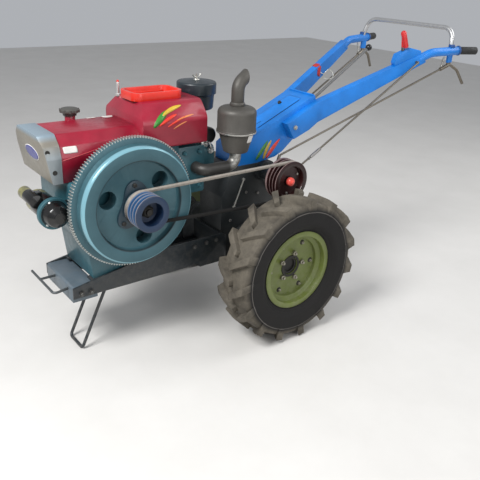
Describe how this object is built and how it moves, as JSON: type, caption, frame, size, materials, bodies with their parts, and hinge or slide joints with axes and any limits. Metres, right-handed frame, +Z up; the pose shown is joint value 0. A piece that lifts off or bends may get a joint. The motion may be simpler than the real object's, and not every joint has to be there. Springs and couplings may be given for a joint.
{
  "type": "walking tractor",
  "caption": "Walking tractor: water-cooled single-cylinder diesel on a rail frame, belt-driven gearbox, lugged tyres, long handlebars and a front stand.",
  "frame": {"origin": "on the floor, under the middle of the wheel axle", "axes": "+X forward to the front stand, +Y to the machine's left (flywheel and belt side), +Z up"},
  "size_m": [2.1663, 0.966, 1.252],
  "materials": {
    "tyre": "matte black rubber",
    "rim_green": "yellow-green enamel",
    "hub_grey": "dark bare iron",
    "case_grey": "charcoal enamel on cast iron",
    "frame_grey": "charcoal enamel",
    "beam_grey": "grey-blue enamel",
    "engine_teal": "teal enamel on cast iron",
    "hood_red": "maroon-red enamel",
    "hood_silver": "silver-grey enamel",
    "handle_blue": "bright blue enamel",
    "pulley_blue": "blue enamel on cast iron",
    "clutch_maroon": "dark maroon enamel",
    "muffler_grey": "heat-stained grey-brown sheet",
    "cleaner_blue": "dark blue-grey enamel",
    "starter_dark": "dark enamel",
    "plastic_red": "orange-red plastic",
    "plastic_black": "black plastic",
    "rubber_black": "black grip rubber",
    "belt": "worn rubber and cord",
    "steel": "bare steel",
    "stainless": "polished tube",
    "wire_grey": "dark grey wire"
  },
  "bodies": {
    "chassis": {"axle_housing_left": "case_grey", "axle_housing_right": "case_grey", "gearbox": "case_grey", "frame_rail_left": "frame_grey", "frame_rail_right": "frame_grey", "front_beam": "beam_grey", "gearbox_bracket": "frame_grey", "stand_pin": "steel", "front_bumper": "wire_grey", "crankcase": "engine_teal", "timing_cover": "engine_teal", "cylinder_head": "engine_teal", "rocker_cover": "engine_teal", "drive_belt": "belt", "fuel_tank": "hood_red", "hood_cap": "hood_silver", "radiator_hopper": "hood_red", "fuel_cap": "plastic_black", "water_filler": "plastic_red", "air_cleaner": "cleaner_blue", "intake_elbow": "engine_teal", "exhaust_manifold": "muffler_grey", "muffler": "muffler_grey", "tail_pipe": "muffler_grey", "starter_motor": "starter_dark", "handle_box": "handle_blue", "handle_arm_left": "handle_blue", "handle_arm_right": "handle_blue", "grip_left": "rubber_black", "grip_right": "rubber_black", "hoop": "stainless", "clutch_quadrant": "handle_blue", "clutch_lever": "steel", "steering_control_left": "steel", "steering_control_right": "steel", "clutch_rod": "steel", "gear_lever": "steel", "rear_hitch": "case_grey"},
    "wheel_left": {"tyre_left": "tyre", "rim_left": "rim_green", "half_axle_left": "hub_grey"},
    "wheel_right": {"tyre_right": "tyre", "rim_right": "rim_green", "half_axle_right": "hub_grey"},
    "crank": {"flywheel": "engine_teal", "engine_pulley": "pulley_blue"},
    "clutch": {"clutch_pulley": "clutch_maroon"},
    "stand": {"stand": "frame_grey"}
  },
  "joints": [
    {"name": "wheel_left_spin", "type": "hinge", "parent": "chassis", "child": "wheel_left", "pos_m": [0, 0.4, 0.32], "axis": [0, 1, 0], "continuous": true},
    {"name": "wheel_right_spin", "type": "hinge", "parent": "chassis", "child": "wheel_right", "pos_m": [0, -0.4, 0.32], "axis": [0, 1, 0], "continuous": true},
    {"name": "crank_spin", "type": "hinge", "parent": "chassis", "child": "crank", "pos_m": [0.615, 0.2, 0.652], "axis": [0, 1, 0], "continuous": true},
    {"name": "clutch_spin", "type": "hinge", "parent": "chassis", "child": "clutch", "pos_m": [-0.095, 0.24, 0.636], "axis": [0, 1, 0], "continuous": true},
    {"name": "stand_fold", "type": "hinge", "parent": "chassis", "child": "stand", "pos_m": [0.655, 0, 0.309], "axis": [0, 1, 0], "range_deg": [0, 112]}
  ],
  "couplings": [
    {"joint": "clutch_spin", "follows": "crank_spin", "ratio": 0.75}
  ]
}
